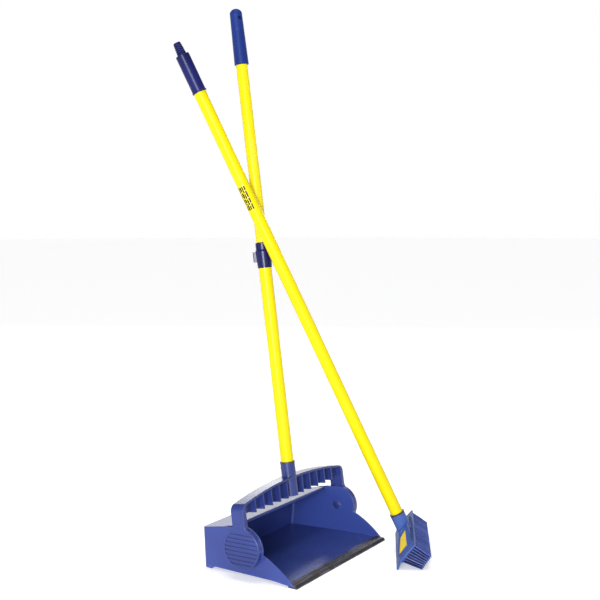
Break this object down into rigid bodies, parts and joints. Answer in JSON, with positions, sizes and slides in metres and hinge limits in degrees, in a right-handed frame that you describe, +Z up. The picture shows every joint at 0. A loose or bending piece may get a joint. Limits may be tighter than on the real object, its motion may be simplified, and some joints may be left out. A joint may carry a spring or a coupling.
{
  "type": "dust pan and brush set",
  "caption": "Upright dust pan with a swinging self-closing scoop, rubber lip and telescopic handle, with a long-handled brush leaning on it.",
  "frame": {"origin": "middle of the flat foot strip under the rear edge of the pan, on the floor", "axes": "+Z up, +X to the side of the pan, the mouth of the pan faces -Y"},
  "size_m": [0.3854, 0.4158, 0.93],
  "materials": {
    "navy_plastic": "glossy moulded polypropylene",
    "yellow_coated_steel": "smooth gloss coating",
    "dark_ring": "satin",
    "grey_plastic": "satin",
    "zinc_screw": "bright zinc",
    "nylon": "satin",
    "lip_rubber": "satin",
    "blue_plastic": "glossy moulded polypropylene",
    "yellow_plastic": "glossy",
    "label_film": "printed film",
    "bristle": "extruded filament"
  },
  "bodies": {
    "handle": {"bail": "navy_plastic", "ferrule_ring": "dark_ring", "socket_screw": "zinc_screw", "lower_tube": "yellow_coated_steel", "lower_tube_plug": "grey_plastic", "collar_base": "navy_plastic", "collet": "navy_plastic", "pivot_pin_left": "dark_ring", "pivot_pin_right": "dark_ring", "pivot_washer_left": "nylon", "pivot_washer_right": "nylon"},
    "pan": {"pan_body": "navy_plastic", "lip_strip": "lip_rubber"},
    "twist_nut": {"collar_nut": "navy_plastic"},
    "upper_handle": {"upper_tube": "yellow_coated_steel", "upper_tube_bush": "grey_plastic", "grip": "navy_plastic"},
    "brush": {"broom_tube": "yellow_coated_steel", "broom_tip": "navy_plastic", "pole_label": "label_film", "brush_block": "blue_plastic", "brush_socket_ring": "dark_ring", "brush_screw": "zinc_screw", "brush_inlay_near": "yellow_plastic", "brush_inlay_far": "yellow_plastic", "bristle_row_1": "bristle", "bristle_row_2": "bristle", "bristle_row_3": "bristle", "bristle_row_4": "bristle", "bristle_row_5": "bristle", "bristle_row_6": "bristle", "bristle_row_7": "bristle", "bristle_row_8": "bristle"}
  },
  "joints": [
    {"name": "pan_swing", "type": "hinge", "parent": "handle", "child": "pan", "pos_m": [0, -0.0853, 0.052], "axis": [-1, 0, 0], "range_deg": [0, 80]},
    {"name": "nut_twist", "type": "hinge", "parent": "handle", "child": "twist_nut", "pos_m": [0, -0.02526, 0.50806], "axis": [0, 0.1305, 0.9914], "range_deg": [0, 90]},
    {"name": "handle_slide", "type": "slide", "parent": "handle", "child": "upper_handle", "axis": [0, 0.1305, 0.9914], "range_m": [-0.2, 0]},
    {"name": "brush_lift", "type": "slide", "parent": "handle", "child": "brush", "axis": [0, -0.7071, 0.7071], "range_m": [0, 0.6]}
  ]
}
